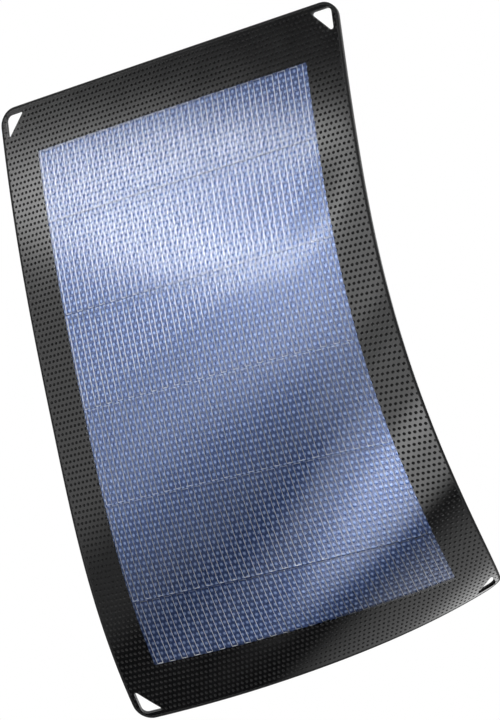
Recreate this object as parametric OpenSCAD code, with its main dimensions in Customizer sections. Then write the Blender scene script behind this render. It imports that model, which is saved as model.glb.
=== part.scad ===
// Flexible solar sheet: a bent laminate of thin cells with four corner eyelets, a
// junction box behind its top border and a hinged dust cover over the box's socket.
// The sheet hangs by its top eyelets: X runs across it, Z up, and its front faces -Y.
// The origin is midway between the top eyelets, on the back face.

/* [Sheet] */
// Width of the sheet, measured flat
sheet_w = 198; // [196:1:204]
// Length of the sheet, measured flat
sheet_h = 321; // [318:1:330]
// Radius of the four outer corners
corner_r = 9; // [8:0.5:10]
// Black border at the left and right of the window
side_border = 20; // [20:0.5:24]
// Black border above and below the window
end_border = 27; // [27:0.5:30]

/* [Layers] */
// Thickness of the clear embossed front film
film_t = 0.3; // [0.2:0.05:0.4]
// Thickness of the clear adhesive in front of the cells
front_glue_t = 0.3; // [0.2:0.05:0.4]
// Thickness of the layer that holds the collector wires
wire_layer_t = 0.3; // [0.3:0.05:0.4]
// Thickness of the cells
cell_t = 0.3; // [0.2:0.05:0.4]
// Thickness of the adhesive behind the cells
rear_glue_t = 0.3; // [0.2:0.05:0.4]
// Thickness of the black back sheet
back_t = 0.5; // [0.4:0.05:0.8]

/* [Cells] */
// Height of a whole row of cells
cell_row_h = 48.9; // [47:0.1:49]
// Height that shows of the first row, at the top
first_row_h = 38.3; // [36:0.1:39]
// Number of rows of cells
cell_rows = 6; // [6]
// Number of wire loops across a cell
wire_loops = 23; // [15:1:23]
// Share of a loop's pitch between its two legs
leg_gap = 0.43; // [0.3:0.01:0.6]
// Width of a collector wire
wire_w = 0.4; // [0.2:0.05:0.6]
// Height of a collector wire
wire_h = 0.2; // [0.1:0.05:0.2]

/* [Bends] */
// Direction of the corner curl, in degrees below straight across
curl_dir = 63.6; // [60:0.1:67]
// Where the corner curl starts, from the middle of the sheet
curl_from = -34; // [-40:1:-20]
// Slope of the corner curl 100 mm past its start
curl_slope_100 = 20.5; // [0:0.5:21]
// Direction of the long bow, in degrees below straight across
bow_dir = 107; // [100:1:115]
// Where the long bow starts
bow_from = -178; // [-190:1:-160]
// Length of the long bow
bow_len = 215; // [150:1:250]
// Angle that the long bow turns through
bow_turn = 11.4; // [0:0.1:14]
// Direction of the side roll, in degrees below straight across
side_dir = 24.5; // [20:0.5:30]
// Where the side roll starts
side_from = 24.4; // [15:0.1:35]
// Length of the side roll
side_len = 156; // [140:1:180]
// Angle that the side roll turns through
side_turn = 33; // [0:1:35]

/* [Eyelets] */
// Distance of an eyelet from the sheet's edges
eye_inset = 3.2; // [3:0.1:4]
// Width of an eyelet opening
eye_w = 10.5; // [9:0.1:11]
// Height of an eyelet opening
eye_h = 12; // [10:0.1:12.5]
// Radius of an eyelet's outer corner
eye_outer_r = 3.2; // [2:0.1:4]
// Radius of an eyelet's two tips
eye_tip_r = 1.1; // [0.8:0.1:1.5]

/* [Junction box] */
// Width of the junction box
box_w = 64; // [60:1:70]
// Depth of the box base, front to back
base_d = 10.6; // [10.4:0.1:12]
// Wall thickness of the box
wall = 1.6; // [1.2:0.1:2]
// Thickness of the box floor that faces the sheet
floor_t = 1.2; // [1:0.1:1.4]
// Thickness of the lid
lid_t = 1.5; // [1.5:0.1:2]
// Thickness of the lid seal
seal_t = 0.5; // [0.3:0.1:0.6]
// Gap between the sheet's back at the hanging line and the box
pad_gap = 2.4; // [2.2:0.1:3]
// Rounding of the box's upright edges
box_r = 3; // [1:0.5:4]
// Thickness of the circuit board
board_t = 1.2; // [1:0.2:1.6]

/* [Dust cover] */
// Radius of the hinge knuckles
knuckle_r = 1.5; // [1.3:0.1:1.6]
// Radius of the hinge pin
pin_r = 0.6; // [0.5:0.1:0.7]
// Running clearance around the pin
pin_gap = 0.05; // [0.02:0.01:0.08]
// Angle that the cover is drawn open
cover_open = 0; // [0:5:150]

/* [Hidden] */
$fn = 48;

// Depths of the layer faces, from the front face of the sheet
film_back = film_t;
wires_front = film_back + front_glue_t;
cells_front = wires_front + wire_layer_t;
cells_back = cells_front + cell_t;
glue_back = cells_back + rear_glue_t;
sheet_t = glue_back + back_t;

// --- The bent surface -------------------------------------------------------------
// Each bend rolls the sheet about a straight line that crosses it. A point's distance
// along the bend's direction gives how far the bend draws it in and pushes it back.
reach = 200;
bend_step = 2;
bend_steps = 2 * reach / bend_step;

function ease(t) = t * t * (3 - 2 * t);
function share(s, from, len) = min(max((s - from) / len, 0), 1);
function curl_slope(s) = curl_slope_100 * pow(max(s - curl_from, 0) / 100, 2);
function bow_slope(s) = bow_turn * ease(share(s, bow_from, bow_len));
function side_slope(s) = side_turn * ease(share(s, side_from, side_len));
function slope(bend, s) = bend == 0 ? curl_slope(s) : bend == 1 ? bow_slope(s) : side_slope(s);

// Running sum of a list of numbers, starting at 0
function running(steps) = [
    for (k = 0, sum = 0; k <= len(steps); sum = sum + (k < len(steps) ? steps[k] : 0), k = k + 1) sum
];
function middles() = [for (k = [0 : bend_steps - 1]) -reach + (k + 0.5) * bend_step];
function table(sums) = [for (k = [0 : bend_steps]) [-reach + k * bend_step, sums[k]]];
draw_in = [for (b = [0 : 2]) table(running([for (s = middles()) (cos(slope(b, s)) - 1) * bend_step]))];
push_back = [for (b = [0 : 2]) table(running([for (s = middles()) sin(slope(b, s)) * bend_step]))];
bend_dirs = [for (a = [curl_dir, bow_dir, side_dir]) [cos(a), -sin(a)]];

function along(b, p) = p * bend_dirs[b];
function drawn(b, s) = lookup(s, draw_in[b]) - lookup(0, draw_in[b]);
function pushed(b, s) = lookup(s, push_back[b]) - lookup(0, push_back[b]);
function bend_shift(b, p) =
    let (s = along(b, p), d = drawn(b, s))
    [d * bend_dirs[b].x, pushed(b, s), d * bend_dirs[b].y];
function front_point(p) = [p.x, 0, p.y] + bend_shift(0, p) + bend_shift(1, p) + bend_shift(2, p);

function bend_tangent(b, p, part) =
    let (a = slope(b, along(b, p)), c = cos(a) - 1)
    part * [c * bend_dirs[b].x, sin(a), c * bend_dirs[b].y];
function tangent(p, k) =
    (k == 0 ? [1, 0, 0] : [0, 0, 1])
    + bend_tangent(0, p, bend_dirs[0][k])
    + bend_tangent(1, p, bend_dirs[1][k])
    + bend_tangent(2, p, bend_dirs[2][k]);
function front_normal(p) = let (n = cross(tangent(p, 0), tangent(p, 1))) n / norm(n);

// The hanging line joins the middles of the two top eyelets
hang_h = sheet_h / 2 - eye_inset - eye_h / 2;
hang_point = front_point([0, hang_h]) - sheet_t * front_normal([0, hang_h]);
function sheet_point(p, depth) = front_point(p) - depth * front_normal(p) - hang_point;

// --- The grid that every layer shares ---------------------------------------------
lead_in = 8;
lead_out = 12;
half_box = box_w / 2;
half_window = sheet_w / 2 - side_border;
side_lines = [
    0, eye_inset, eye_inset + eye_w / 3, eye_inset + eye_w * 2 / 3, eye_inset + eye_w,
    side_border - 4.5, side_border
];
end_lines = [
    0, eye_inset, eye_inset + eye_h / 3, eye_inset + eye_h * 2 / 3, eye_inset + eye_h,
    end_border - 5, end_border
];
edge_cells = len(side_lines) - 1;
mid_lines = [
    -(half_window + half_box) / 2, -half_box, -lead_out, -lead_in,
    lead_in, lead_out, half_box, (half_window + half_box) / 2
];
cols = concat(
    [for (a = side_lines) a - sheet_w / 2],
    mid_lines,
    [for (k = [edge_cells : -1 : 0]) sheet_w / 2 - side_lines[k]]
);

window_top = sheet_h / 2 - end_border;
window_bottom = -window_top;
// Height of the upper edge of row r, where row cell_rows is the window's lower edge
function row_top(r) =
    r == 0 ? window_top : r == cell_rows ? window_bottom : window_top - first_row_h - (r - 1) * cell_row_h;
row_steps = 2;
// Height at a place within row r, counted in grid squares from the row's upper edge
function height_in_row(r, place) = row_top(r) + (row_top(r + 1) - row_top(r)) * place / row_steps;
window_rows = [for (r = [0 : cell_rows - 1]) for (k = [0 : row_steps - 1]) height_in_row(r, k)];
rows = concat(
    [for (k = [0 : edge_cells - 1]) sheet_h / 2 - end_lines[k]],
    window_rows,
    [for (k = [edge_cells : -1 : 0]) end_lines[k] - sheet_h / 2]
);
n_cols = len(cols);
n_rows = len(rows);
// Grid row at which row r of cells starts
function row_index(r) = edge_cells + row_steps * r;

// An eyelet's outline, from its outer corner on: x from the sheet's side, y from its end
tip_side = [eye_inset + eye_w - eye_tip_r, eye_inset + eye_tip_r];
tip_end = [eye_inset + eye_tip_r, eye_inset + eye_h - eye_tip_r];
long_normal = atan2(tip_side.x - tip_end.x, tip_end.y - tip_side.y);
eye_middle = (eye_inset + eye_outer_r) * [1, 1];
function on_arc(c, r, a) = c + r * [cos(a), sin(a)];
function halfway(a, b) = (a + b) / 2;
outer_arc = [for (a = [180, 225, 270]) on_arc(eye_middle, eye_outer_r, a)];
side_arc = [for (a = [270, 315 + long_normal / 2, 360 + long_normal]) on_arc(tip_side, eye_tip_r, a)];
end_arc = [for (a = [long_normal, 90 + long_normal / 2, 180]) on_arc(tip_end, eye_tip_r, a)];
eyelet = [
    outer_arc[1], outer_arc[2], halfway(outer_arc[2], side_arc[0]),
    side_arc[0], side_arc[1], side_arc[2], halfway(side_arc[2], end_arc[0]),
    end_arc[0], end_arc[1], end_arc[2], halfway(end_arc[2], outer_arc[0]), outer_arc[0]
];
// Place round the eyelet of grid point (a, b), counted from the sheet's corner
function ring_place(a, b) = b == 1 ? a - 1 : a == 4 ? b + 2 : b == 4 ? 10 - a : 13 - b;
function on_ring(a, b) = max(a, b) <= 4 && min(a, b) >= 1 && (a == 1 || a == 4 || b == 1 || b == 4);
function corner_point(a, b) =
    on_ring(a, b) ? eyelet[ring_place(a, b)]
    : min(a, b) == 0 && max(a, b) <= 2 ? on_arc(corner_r * [1, 1], corner_r, 225 + 22.5 * (a - b))
    : [side_lines[a], end_lines[b]];
function flat_point(i, j) =
    let (a = min(i, n_cols - 1 - i), b = min(j, n_rows - 1 - j))
    let (near = a <= edge_cells && b <= edge_cells)
    let (c = near ? corner_point(a, b) : [0, 0])
    let (x = i < n_cols / 2 ? c.x - sheet_w / 2 : sheet_w / 2 - c.x)
    let (h = j < n_rows / 2 ? sheet_h / 2 - c.y : c.y - sheet_h / 2)
    near ? [x, h] : [cols[i], rows[j]];

flat = [for (j = [0 : n_rows - 1]) [for (i = [0 : n_cols - 1]) flat_point(i, j)]];
function grid_point(i, j, depth) = sheet_point(flat[j][i], depth);

// Which grid squares belong to a piece
function in_grid(i, j) = i >= 0 && j >= 0 && i < n_cols - 1 && j < n_rows - 1;
function corner_cell(i, n) = min(i, n - 2 - i);
function is_eyelet(i, j) =
    let (a = corner_cell(i, n_cols), b = corner_cell(j, n_rows)) a >= 1 && a <= 3 && b >= 1 && b <= 3;
function is_window(i, j) =
    i >= edge_cells && i < n_cols - 1 - edge_cells && j >= edge_cells && j < n_rows - 1 - edge_cells;
function in_cell_row(i, j, r) = is_window(i, j) && j >= row_index(r) && j < row_end(r);
function row_end(r) = r == cell_rows - 1 ? n_rows - 1 - edge_cells : row_index(r + 1);
function is_top_bus(i, j) = j == edge_cells - 1 && i >= edge_cells && i < n_cols - 1 - edge_cells;
function is_bottom_bus(i, j) = j == n_rows - 1 - edge_cells && i >= edge_cells && i < n_cols - 1 - edge_cells;
function is_return(i, j) = i == edge_cells - 1 && j >= edge_cells - 1 && j <= n_rows - 1 - edge_cells;
function is_bus(i, j) = is_top_bus(i, j) || is_bottom_bus(i, j) || is_return(i, j);
left_lead_col = edge_cells + 3;
right_lead_col = n_cols - 2 - left_lead_col;
lead_row = 3;
function is_lead(i, j) = j == lead_row && (i == left_lead_col || i == right_lead_col);
function is_sheet(i, j) = in_grid(i, j) && !is_eyelet(i, j);
function is_backing(i, j) = is_sheet(i, j) && !is_lead(i, j);
function is_border(i, j) = is_sheet(i, j) && !is_window(i, j);
function is_carrier(i, j) = is_border(i, j) && !is_bus(i, j);

// One piece of a layer: the grid squares that pick chooses, between two depths
function at_front(i, j) = j * n_cols + i;
function at_back(i, j) = n_cols * n_rows + at_front(i, j);
function quad_out(a, b, c, d) = [[a, b, c], [a, c, d]];
function wall_out(i0, j0, i1, j1) =
    quad_out(at_front(i1, j1), at_front(i0, j0), at_back(i0, j0), at_back(i1, j1));
function square_faces(i, j, pick) = concat(
    quad_out(at_front(i, j), at_front(i + 1, j), at_front(i + 1, j + 1), at_front(i, j + 1)),
    [
        [at_back(i, j), at_back(i + 1, j + 1), at_back(i + 1, j)],
        [at_back(i, j), at_back(i, j + 1), at_back(i + 1, j + 1)]
    ],
    pick(i, j - 1) ? [] : wall_out(i, j, i + 1, j),
    pick(i + 1, j) ? [] : wall_out(i + 1, j, i + 1, j + 1),
    pick(i, j + 1) ? [] : wall_out(i + 1, j + 1, i, j + 1),
    pick(i - 1, j) ? [] : wall_out(i, j + 1, i, j)
);
function layer_faces(pick) = [
    for (j = [0 : n_rows - 2])
        for (i = [0 : n_cols - 2])
            if (pick(i, j))
                each square_faces(i, j, pick)
];
function face_points(depth) = [for (j = [0 : n_rows - 1]) for (i = [0 : n_cols - 1]) grid_point(i, j, depth)];

module layer(front, back, pick) {
    polyhedron(concat(face_points(front), face_points(back)), layer_faces(pick));
}

// --- Laminate ---------------------------------------------------------------------
module back_sheet() {
    color("#17181a")
        layer(glue_back, sheet_t, function(i, j) is_backing(i, j));
}

module rear_adhesive() {
    color("#d8dce0")
        layer(cells_back, glue_back, function(i, j) is_backing(i, j));
}

module border_carrier() {
    color("#1c1d20")
        layer(cells_front, cells_back, function(i, j) is_carrier(i, j));
}

module border_mask() {
    color("#121315")
        layer(wires_front, cells_front, function(i, j) is_border(i, j));
}

module front_adhesive() {
    color("#e4e9f0")
        layer(film_back, wires_front, function(i, j) is_sheet(i, j));
}

module front_film() {
    color("#eef2f8")
        layer(0, film_back, function(i, j) is_sheet(i, j));
}

module cell(r) {
    color("#3a4682")
        layer(cells_front, cells_back, function(i, j) in_cell_row(i, j, r));
}

module ribbon(pick) {
    color("#c9ccd1")
        layer(cells_front, cells_back, pick);
}

// --- Collector wires --------------------------------------------------------------
// Point on the flat faces of the grid, so that a wire lies on its cell
function bracket(lines, v, up) = max([for (k = [0 : len(lines) - 2]) (up * (v - lines[k]) >= 0) ? k : 0]);
function on_grid(p, depth) =
    let (i = bracket(cols, p.x, 1), j = bracket(rows, p.y, -1))
    let (s = (p.x - cols[i]) / (cols[i + 1] - cols[i]), t = (p.y - rows[j]) / (rows[j + 1] - rows[j]))
    let (a = grid_point(i, j, depth), c = grid_point(i + 1, j + 1, depth))
    s >= t ? a + s * (grid_point(i + 1, j, depth) - a) + t * (c - grid_point(i + 1, j, depth))
    : a + t * (grid_point(i, j + 1, depth) - a) + s * (c - grid_point(i, j + 1, depth));

wire_end = 1.2;
wire_clear = 0.05;
loop_pitch = 2 * half_window / wire_loops;
// Sideways step of the wires from one row to the next
function wire_shift(r) = (r % 2 == 0 ? 0.2 : 0.27) * loop_pitch;
function reversed(v) = [for (k = [len(v) - 1 : -1 : 0]) v[k]];
// A leg of row r at x, from the top down, bending wherever it crosses a fold of the grid
function leg(r, x) =
    let (i = bracket(cols, x, 1), fold = (x - cols[i]) / (cols[i + 1] - cols[i]))
    let (folds = [for (k = [0 : row_steps - 1]) each [height_in_row(r, k + fold), height_in_row(r, k + 1)]])
    let (top = row_top(r) - wire_end, bottom = row_top(r + 1) + wire_end)
    let (inner = [for (h = folds) if (h < top - wire_w && h > bottom + wire_w) h])
    [for (h = concat([top], inner, [bottom])) [x, h]];
function wire_path(r) = [
    for (k = [0 : wire_loops - 1])
        let (x = -half_window + k * loop_pitch + wire_shift(r))
            each concat(leg(r, x), reversed(leg(r, x + leg_gap * loop_pitch)))
];
// Half width of the wire at a point, square to its way, mitred where it turns
function unit(v) = v / norm(v);
function side_of(v) = [v.y, -v.x];
function mitre(path, k) =
    let (before = k > 0 ? unit(path[k] - path[k - 1]) : unit(path[1] - path[0]))
    let (after = k < len(path) - 1 ? unit(path[k + 1] - path[k]) : before)
    let (m = side_of(unit(before + after)))
    wire_w / 2 * m / max(m * side_of(before), 0.5);
function wire_ring(path, k) =
    let (m = mitre(path, k), base = cells_front - wire_clear)
    [on_grid(path[k] + m, base), on_grid(path[k], base - wire_h), on_grid(path[k] - m, base)];

module wires(r) {
    path = wire_path(r);
    n = len(path);
    points = [for (k = [0 : n - 1]) each wire_ring(path, k)];
    sides = [
        for (k = [0 : n - 2])
            for (s = [0 : 2])
                let (a = 3 * k + s, b = 3 * k + (s + 1) % 3)
                    each quad_out(b, a, a + 3, b + 3)
    ];
    ends = [[0, 1, 2], [3 * n - 1, 3 * n - 2, 3 * n - 3]];
    color("#c7ccd6")
        polyhedron(points, concat(sides, ends));
}

// --- Junction box -----------------------------------------------------------------
box_top = sheet_h / 2 - end_lines[1] - hang_h;
box_bottom = window_top - hang_h;
box_h = box_top - box_bottom;
box_mid = (box_top + box_bottom) / 2;
base_front = pad_gap;
base_back = base_front + base_d;
lid_front = base_back + seal_t;
lid_back = lid_front + lid_t;
board_front = base_front + floor_t + 1.2;
board_back = board_front + board_t;
screw_x = half_box - 3.6;
screw_zs = [box_top - 3.6, box_bottom + 3.6];
boss_r = 2.2;
pilot_r = 0.9;
head_r = 1.9;
head_t = 1;
usb_w = 13.1;
usb_d = 5.7;
usb_len = 14;
usb_wall = 0.4;
usb_front = board_back;
usb_mid = usb_front + usb_d / 2;
usb_mouth = box_bottom + 0.3;
lead_mid = sheet_h / 2 - (end_lines[lead_row] + end_lines[lead_row + 1]) / 2 - hang_h;
strip_root = 0.6;
pipe_x = 18;
pipe_r = 1.1;
pipe_y = board_back + 1.4;

// Extrudes a flat shape, drawn looking along +Y with z up, from y = from to y = to
module plate(from, to) {
    translate([0, to, 0])
        rotate([90, 0, 0])
            linear_extrude(to - from)
                children();
}

module round_rect(w, h, r) {
    for (s = [[w, h - 2 * r], [w - 2 * r, h]])
        square(s, center = true);
    for (x = [-1, 1])
        for (y = [-1, 1])
            translate([x * (w / 2 - r), y * (h / 2 - r)])
                circle(r);
}

module box_outline(inset) {
    translate([0, box_mid])
        round_rect(box_w - 2 * inset, box_h - 2 * inset, box_r - min(inset, box_r - 1));
}

module at_screws() {
    for (x = [-screw_x, screw_x])
        for (z = screw_zs)
            translate([x, z])
                children();
}

module block(x, y, z) {
    translate([x[0], y[0], z[0]])
        cube([x[1] - x[0], y[1] - y[0], z[1] - z[0]]);
}

function in_pad(i, j) =
    j >= 1 && j < edge_cells && i >= edge_cells + 2 && i < n_cols - 3 - edge_cells
    && !(j == lead_row && i >= left_lead_col && i <= right_lead_col);
function on_box(p) = [p.x, base_front, p.z];

module box_pad() {
    points = concat(face_points(sheet_t), [for (p = face_points(sheet_t)) on_box(p)]);
    color("#2a2b2e")
        polyhedron(points, layer_faces(function(i, j) in_pad(i, j)));
}

module lead(col, x) {
    color("#c98b5a") {
        layer(cells_back, sheet_t, function(i, j) i == col && j == lead_row);
        block([x - 1.5, x + 1.5], [-strip_root, board_front], [lead_mid - 0.15, lead_mid + 0.15]);
    }
}

hinge_y = lid_back - 2;
hinge_z = box_bottom - 1.8;
cover_half = 7.9;
lug_in = 8.2;
lug_out = 10.4;

module hinge_bar(r, half) {
    translate([-half, hinge_y, hinge_z])
        rotate([0, 90, 0])
            cylinder(r = r, h = 2 * half);
}

module lug(x) {
    translate([x, hinge_y, hinge_z])
        rotate([0, 90, 0])
            cylinder(r = knuckle_r, h = lug_out - lug_in);
    block([x, x + lug_out - lug_in], [hinge_y - knuckle_r, base_back], [hinge_z, box_bottom + wall / 2]);
}

module box_base() {
    color("#1f2023")
        difference() {
            union() {
                difference() {
                    plate(base_front, base_back) box_outline(0);
                    plate(base_front + floor_t, base_back + 1) box_outline(wall);
                }
                plate(base_front + floor_t / 2, base_back) at_screws() circle(boss_r);
                for (x = [-20, 20])
                    for (z = [box_top - 6, box_bottom + 6])
                        translate([x, board_front, z])
                            rotate([90, 0, 0])
                                cylinder(r = 1.5, h = board_front - base_front - floor_t / 2);
                lug(lug_in);
                lug(-lug_out);
            }
            translate([0, base_back + 1, 0])
                rotate([90, 0, 0])
                    linear_extrude(9)
                        at_screws() circle(pilot_r);
            block([-usb_w / 2 - 0.2, usb_w / 2 + 0.2], [usb_front - 0.2, usb_front + usb_d + 0.2],
                [box_bottom - 1, box_bottom + wall + 1]);
            for (x = [-lead_out - 0.4, lead_in - 0.4])
                block([x, x + lead_out - lead_in + 0.8], [base_front - 1, base_front + floor_t + 1],
                    [lead_mid - 1, lead_mid + 1]);
            translate([pipe_x, pipe_y, box_bottom - 1])
                cylinder(r = pipe_r, h = wall + 2);
            hinge_bar(pin_r, lug_out + 1);
        }
}

module lid_seal() {
    color("#3a3b3e")
        plate(base_back, lid_front)
            difference() {
                box_outline(0.3);
                box_outline(wall - 0.1);
            }
}

module box_lid() {
    color("#232427")
        difference() {
            plate(lid_front, lid_back) box_outline(0);
            plate(lid_front - 1, lid_back + 1) at_screws() circle(pilot_r + 0.2);
            plate(lid_back - head_t - 0.1, lid_back + 1) at_screws() circle(head_r + 0.2);
        }
}

module lid_screws() {
    color("#b9bcc2") {
        plate(base_back - 7, lid_back - head_t) at_screws() circle(pilot_r);
        plate(lid_back - head_t - 0.1, lid_back - 0.1) at_screws() difference() {
            circle(head_r);
            for (a = [0, 90])
                rotate(a)
                    square([2.4, 0.5], center = true);
        }
        plate(lid_back - head_t - 0.1, lid_back - 0.6) at_screws() circle(head_r);
    }
}

board_half = 25.5;

module circuit_board() {
    color("#1f6a43")
        difference() {
            block([-board_half, board_half], [board_front, board_back],
                [box_bottom + wall + 0.6, box_top - wall - 0.6]);
            for (x = [-20, 20])
                for (z = [box_top - 6, box_bottom + 6])
                    translate([x, board_back + 1, z])
                        rotate([90, 0, 0])
                            cylinder(r = 0.8, h = board_t + 2);
        }
}

module usb_shell() {
    color("#c8cace")
        difference() {
            block([-usb_w / 2, usb_w / 2], [usb_front, usb_front + usb_d], [usb_mouth, usb_mouth + usb_len]);
            block([usb_wall - usb_w / 2, usb_w / 2 - usb_wall],
                [usb_front + usb_wall, usb_front + usb_d - usb_wall],
                [usb_mouth - 1, usb_mouth + usb_len - usb_wall]);
        }
}

tongue_front = usb_front + 2.9;
tongue_t = 1.9;
tongue_root = usb_mouth + usb_len - 3;

module usb_tongue() {
    color("#f0f0ee") {
        block([-5.55, 5.55], [tongue_front, tongue_front + tongue_t], [usb_mouth + 0.6, tongue_root]);
        block([usb_wall - usb_w / 2, usb_w / 2 - usb_wall],
            [usb_front + usb_wall, usb_front + usb_d - usb_wall],
            [tongue_root, usb_mouth + usb_len - usb_wall]);
    }
}

module usb_contacts() {
    color("#d8b45a")
        for (x = [-3.5, -1, 1, 3.5])
            block([x - 0.6, x + 0.6], [tongue_front - 0.2, tongue_front], [usb_mouth + 1, tongue_root]);
}

module regulator_chip() {
    color("#202124")
        block([-14, -9], [board_back, board_back + 1.6], [box_mid - 3, box_mid + 1]);
}

module inductor() {
    color("#4a4c50")
        plate(board_back, board_back + 3.6)
            translate([-20, box_mid - 1])
                round_rect(7, 7, 2);
}

module capacitors() {
    color("#a9adb5")
        for (x = [12, 18])
            plate(board_back, board_back + 4.6)
                translate([x, box_mid + 2])
                    circle(2.2);
}

module blocking_diode() {
    color("#242528")
        block([-2.2, 2.2], [board_back, board_back + 2.2], [box_top - 5.4, box_top - 3]);
}

module status_led() {
    color("#e8f0e0")
        block([pipe_x - 0.8, pipe_x + 0.8], [board_back, board_back + 2.2],
            [box_bottom + wall + 1.2, box_bottom + wall + 2]);
}

module light_pipe() {
    color("#e6ecf2")
        translate([pipe_x, pipe_y, box_bottom])
            cylinder(r = pipe_r, h = wall + 1);
}

module cover_pin() {
    color("#b4b7bd")
        hinge_bar(pin_r, lug_out);
}

cover_gap = 0.3;
cover_t = 1.5;
cover_front = usb_front - 1.4;

module port_cover() {
    color("#2b2c30")
        translate([0, hinge_y, hinge_z])
            rotate([cover_open, 0, 0])
                translate([0, -hinge_y, -hinge_z])
                    difference() {
                        union() {
                            block([-cover_half, cover_half], [cover_front, hinge_y],
                                [box_bottom - cover_gap - cover_t, box_bottom - cover_gap]);
                            hinge_bar(knuckle_r - 0.05, cover_half);
                            block([-5.9, 5.9], [usb_front + 0.7, usb_front + 2.4],
                                [box_bottom - 0.8, usb_mouth + 0.5]);
                            block([-3, 3], [cover_front - 1.2, cover_front + 1],
                                [box_bottom - cover_gap - cover_t, box_bottom - cover_gap - 0.6]);
                        }
                        hinge_bar(pin_r + pin_gap, cover_half + 1);
                    }
}

back_sheet();
rear_adhesive();
border_carrier();
border_mask();
front_adhesive();
front_film();
cell(0);  // cell_1
cell(1);  // cell_2
cell(2);  // cell_3
cell(3);  // cell_4
cell(4);  // cell_5
cell(5);  // cell_6
wires(0);  // wires_1
wires(1);  // wires_2
wires(2);  // wires_3
wires(3);  // wires_4
wires(4);  // wires_5
wires(5);  // wires_6
ribbon(function(i, j) is_top_bus(i, j));  // top_bus_ribbon
ribbon(function(i, j) is_bottom_bus(i, j));  // bottom_bus_ribbon
ribbon(function(i, j) is_return(i, j));  // return_ribbon
lead(left_lead_col, -(lead_in + lead_out) / 2);  // left_lead
lead(right_lead_col, (lead_in + lead_out) / 2);  // right_lead
box_pad();
box_base();
box_lid();
lid_seal();
lid_screws();
circuit_board();
usb_shell();
usb_tongue();
usb_contacts();
regulator_chip();
inductor();
capacitors();
blocking_diode();
status_led();
light_pipe();
port_cover();
cover_pin();
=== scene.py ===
"""A flexible solar sheet hanging by its top eyelets, with its junction box behind.

The sheet is a bent laminate: a dimpled clear film over a black border and six rows of
blue cells with silver wires, on a woven back sheet. Every layer is built on the flat
sheet, in millimetres, and then rolled along the same three bends. X runs across the
sheet, Z up, and its front faces -Y; the origin is midway between the top eyelets.
"""

from __future__ import annotations

import logging
import math
from dataclasses import dataclass
from enum import Enum

import bmesh
import bpy
import numpy as np
from mathutils import Matrix, Vector
from mathutils.geometry import delaunay_2d_cdt

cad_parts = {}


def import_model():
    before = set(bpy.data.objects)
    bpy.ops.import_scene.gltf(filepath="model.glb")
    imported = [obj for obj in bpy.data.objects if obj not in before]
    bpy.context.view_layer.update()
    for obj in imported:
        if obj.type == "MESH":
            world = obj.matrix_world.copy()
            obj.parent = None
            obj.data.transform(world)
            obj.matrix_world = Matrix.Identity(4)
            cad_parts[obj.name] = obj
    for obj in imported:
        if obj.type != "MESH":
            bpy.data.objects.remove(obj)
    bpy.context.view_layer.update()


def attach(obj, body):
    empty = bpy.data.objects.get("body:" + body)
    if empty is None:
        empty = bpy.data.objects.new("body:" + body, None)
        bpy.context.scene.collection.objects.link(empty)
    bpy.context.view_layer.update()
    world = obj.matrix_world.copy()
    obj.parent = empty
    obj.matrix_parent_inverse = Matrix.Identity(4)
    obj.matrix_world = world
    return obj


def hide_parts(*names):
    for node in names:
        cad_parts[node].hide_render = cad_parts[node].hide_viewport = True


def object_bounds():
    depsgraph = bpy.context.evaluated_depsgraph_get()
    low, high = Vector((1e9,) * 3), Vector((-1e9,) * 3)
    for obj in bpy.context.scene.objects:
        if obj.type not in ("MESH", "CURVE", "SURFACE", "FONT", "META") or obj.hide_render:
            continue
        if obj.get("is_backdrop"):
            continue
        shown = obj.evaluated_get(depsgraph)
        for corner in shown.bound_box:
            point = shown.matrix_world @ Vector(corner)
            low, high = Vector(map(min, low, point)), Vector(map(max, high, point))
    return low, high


LOG = logging.getLogger("solar_sheet")
MM = 0.001

# Numbers of a colour Mix node's sockets, whose names it shares with its other kinds.
MIX_A, MIX_B, MIX_RESULT = 6, 7, 2


class Body(Enum):
    """The rigid bodies of the frame."""

    PANEL = "panel"
    COVER = "cover"


# --- The bent surface -----------------------------------------------------------------


def ease(t: np.ndarray) -> np.ndarray:
    """Rises smoothly from 0 to 1 as t does."""
    return t * t * (3 - 2 * t)


@dataclass(frozen=True)
class Roll:
    """A bend that rolls the sheet about a straight line across it.

    A quadratic roll steepens without end; the others turn through a set angle.
    """

    direction: float
    start: float
    turn: float
    length: float
    quadratic: bool = False

    def across(self) -> np.ndarray:
        """Gives the flat direction in which the slope grows."""
        a = math.radians(self.direction)
        return np.array([math.cos(a), -math.sin(a)])

    def slope(self, s: np.ndarray) -> np.ndarray:
        """Gives the slope, in radians, at distances s along the roll's direction."""
        past = (s - self.start) / self.length
        share = np.maximum(past, 0) ** 2 if self.quadratic else ease(np.clip(past, 0, 1))
        return np.radians(self.turn) * share


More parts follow.
